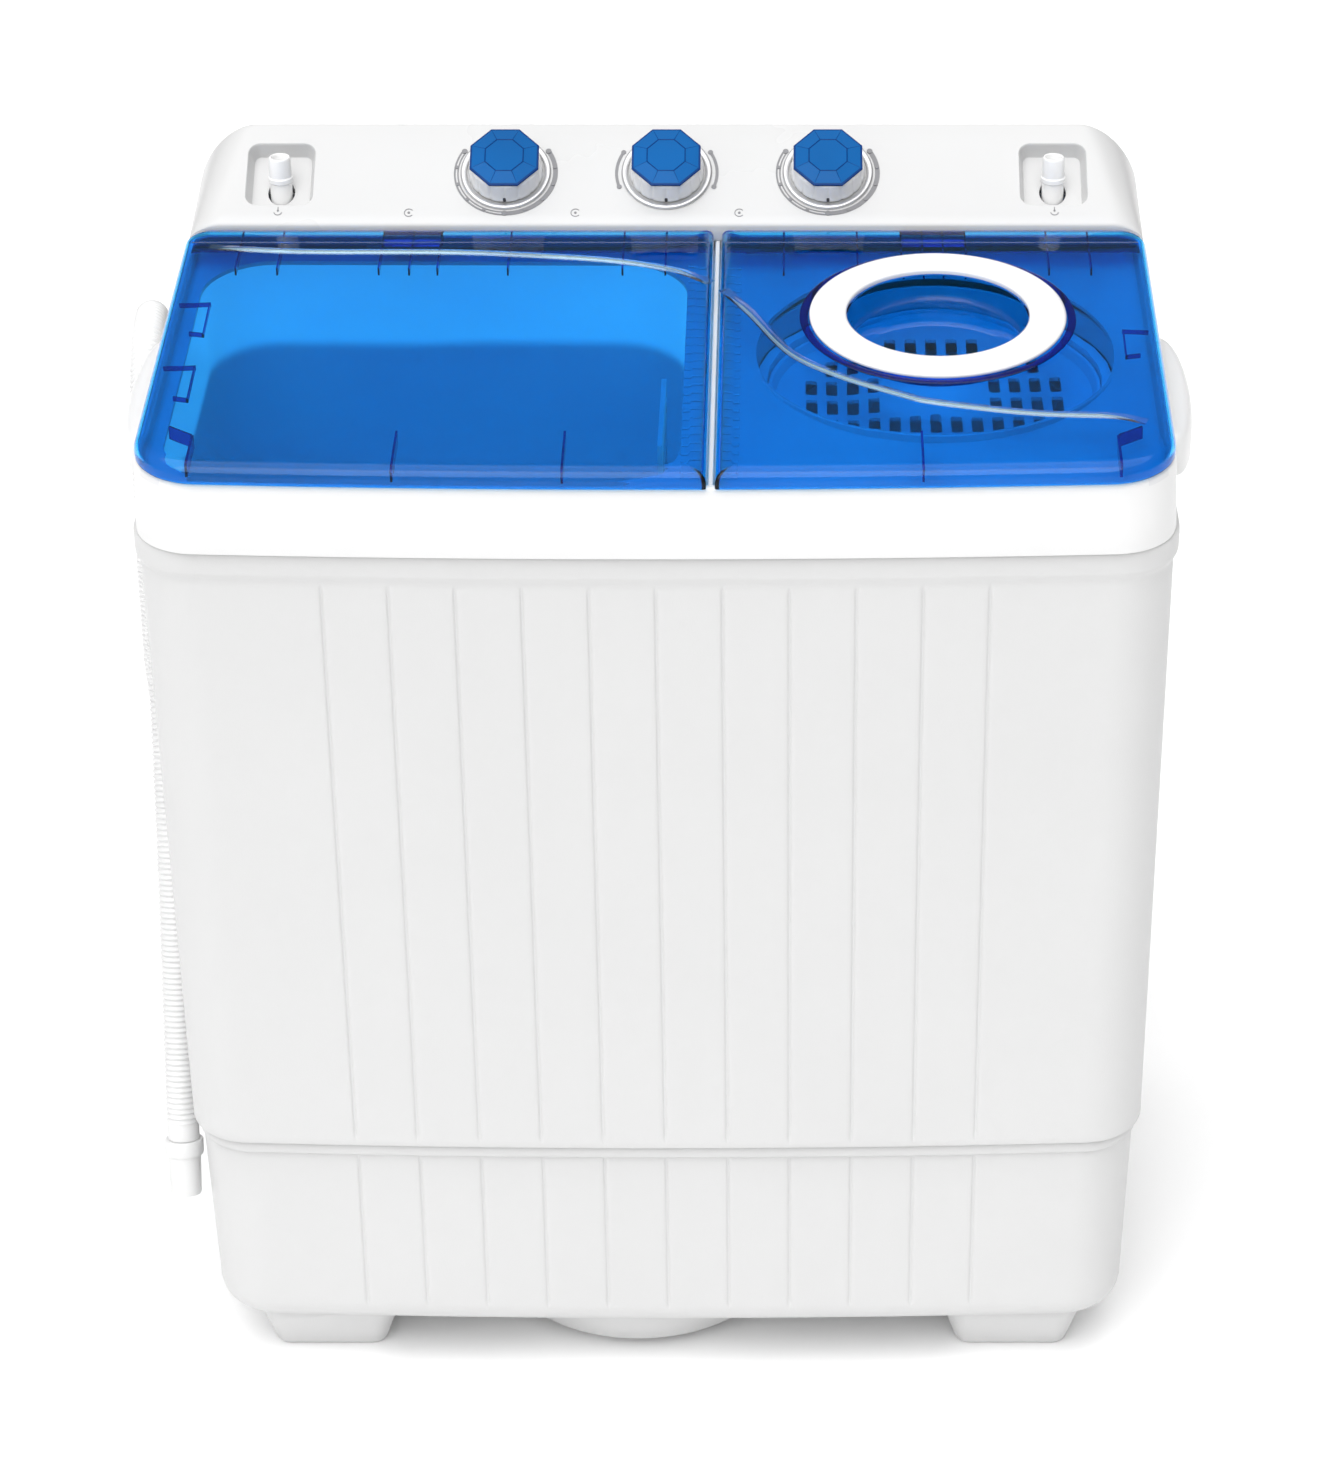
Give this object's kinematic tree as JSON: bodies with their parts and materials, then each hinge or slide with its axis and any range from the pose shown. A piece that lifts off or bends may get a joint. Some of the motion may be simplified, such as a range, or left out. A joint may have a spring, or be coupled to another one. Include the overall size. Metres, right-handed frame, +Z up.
{
  "type": "twin tub washer",
  "caption": "Portable twin tub washing machine: pulsator wash tub and spin basket side by side under clear blue lids, timers on a sloping rear panel, drain hose on the side.",
  "frame": {"origin": "on the floor under the middle of the machine", "axes": "+Z up, +X to the user's right, the user stands at -Y and the control panel is at +Y"},
  "size_m": [0.7956, 0.4471, 0.8539],
  "materials": {
    "white_shell": "moulded white, satin",
    "inner_plastic": "moulded off-white",
    "clear_blue": "clear blue, polished",
    "ring_white": "polished white",
    "knob_blue": "clear blue, faceted",
    "silver_trim": "satin silver",
    "steel": "turned",
    "motor_paint": "satin enamel",
    "galvanised": "galvanised sheet",
    "rubber": "matt",
    "grey_plastic": "moulded grey",
    "dark_plastic": "moulded black",
    "hose_plastic": "corrugated white"
  },
  "bodies": {
    "body": {"cabinet": "white_shell", "base": "white_shell", "top_frame": "white_shell", "side_handle_left": "white_shell", "side_handle_right": "white_shell", "control_panel": "white_shell", "wash_inlet_spout": "white_shell", "spin_inlet_spout": "white_shell", "back_cover": "white_shell", "hose_hook": "white_shell", "wash_tub": "inner_plastic", "spin_casing": "inner_plastic", "wash_timer_trim_ring": "silver_trim", "wash_selector_trim_ring": "silver_trim", "spin_timer_trim_ring": "silver_trim", "brake_pivot_post": "steel", "suspension_spring_1": "steel", "suspension_spring_2": "steel", "suspension_spring_3": "steel", "back_cover_screw_1": "steel", "back_cover_screw_2": "steel", "back_cover_screw_3": "steel", "back_cover_screw_4": "steel", "wash_motor": "motor_paint", "spin_motor": "motor_paint", "pulsator_bearing_housing": "galvanised", "wash_motor_bracket": "galvanised", "spin_motor_plate": "galvanised", "run_capacitor": "galvanised", "drive_belt": "rubber", "spin_shaft_seal": "rubber", "wash_timer": "grey_plastic", "selector_switch": "grey_plastic", "spin_timer": "grey_plastic", "drain_valve_body": "grey_plastic", "hose_outlet": "grey_plastic", "cord_gland": "dark_plastic", "drain_hose": "hose_plastic", "hose_end_cuff": "hose_plastic"},
    "wash_lid": {"wash_lid": "clear_blue"},
    "spin_lid": {"spin_lid": "clear_blue", "spin_lid_ring": "ring_white", "spin_lid_window": "clear_blue"},
    "wash_timer_knob": {"wash_timer_knob": "white_shell", "wash_timer_knob_cap": "knob_blue"},
    "wash_selector_knob": {"wash_selector_knob": "white_shell", "wash_selector_knob_cap": "knob_blue"},
    "spin_timer_knob": {"spin_timer_knob": "white_shell", "spin_timer_knob_cap": "knob_blue"},
    "pulsator": {"pulsator": "inner_plastic", "pulsator_shaft": "steel", "wash_pulley": "grey_plastic"},
    "wash_motor_rotor": {"wash_motor_pulley": "grey_plastic"},
    "spin_basket": {"spin_basket": "inner_plastic", "spin_shaft": "steel", "brake_drum": "steel"},
    "spin_inner_cover": {"spin_inner_cover": "inner_plastic"},
    "overflow_filter": {"overflow_filter": "inner_plastic"},
    "drain_valve_plunger": {"drain_valve_plunger": "rubber"},
    "brake_lever": {"brake_lever": "galvanised"}
  },
  "joints": [
    {"name": "wash_lid_hinge", "type": "hinge", "parent": "body", "child": "wash_lid", "pos_m": [0, 0.133, 0.79477], "axis": [-1, 0, 0], "range_deg": [0, 97]},
    {"name": "spin_lid_hinge", "type": "hinge", "parent": "body", "child": "spin_lid", "pos_m": [0, 0.133, 0.79477], "axis": [-1, 0, 0], "range_deg": [0, 97]},
    {"name": "wash_timer_turn", "type": "hinge", "parent": "body", "child": "wash_timer_knob", "pos_m": [-0.1195, 0.18, 0.82364], "axis": [0, 0.515, -0.8572], "range_deg": [0, 300]},
    {"name": "wash_selector_turn", "type": "hinge", "parent": "body", "child": "wash_selector_knob", "pos_m": [0, 0.18, 0.82364], "axis": [0, 0.515, -0.8572], "range_deg": [-60, 60]},
    {"name": "spin_timer_turn", "type": "hinge", "parent": "body", "child": "spin_timer_knob", "pos_m": [0.1195, 0.18, 0.82364], "axis": [0, 0.515, -0.8572], "range_deg": [0, 270]},
    {"name": "pulsator_spin", "type": "hinge", "parent": "body", "child": "pulsator", "pos_m": [-0.1595, -0.0375, 0.36], "axis": [0, 0, 1], "continuous": true},
    {"name": "wash_motor_spin", "type": "hinge", "parent": "body", "child": "wash_motor_rotor", "pos_m": [-0.025, -0.065, 0.256], "axis": [0, 0, 1], "continuous": true},
    {"name": "spin_basket_spin", "type": "hinge", "parent": "body", "child": "spin_basket", "pos_m": [0.1942, -0.014, 0.36], "axis": [0, 0, 1], "continuous": true},
    {"name": "spin_cover_lift", "type": "slide", "parent": "body", "child": "spin_inner_cover", "axis": [0, 0, 1], "range_m": [0, 0.018]},
    {"name": "overflow_filter_slide", "type": "slide", "parent": "body", "child": "overflow_filter", "axis": [0, 0, 1], "range_m": [0, 0.04]},
    {"name": "drain_valve_lift", "type": "slide", "parent": "body", "child": "drain_valve_plunger", "axis": [0, 0, 1], "range_m": [0, 0.012], "stiffness_N_per_m": 150, "springref_m": -0.004},
    {"name": "brake_lever_swing", "type": "hinge", "parent": "body", "child": "brake_lever", "pos_m": [0.138, 0.04, 0.269], "axis": [0, 0, 1], "range_deg": [0, 1.6]}
  ],
  "couplings": [
    {"joint": "wash_motor_spin", "follows": "pulsator_spin", "ratio": 4},
    {"joint": "brake_lever_swing", "follows": "spin_lid_hinge", "ratio": 0.01629}
  ]
}
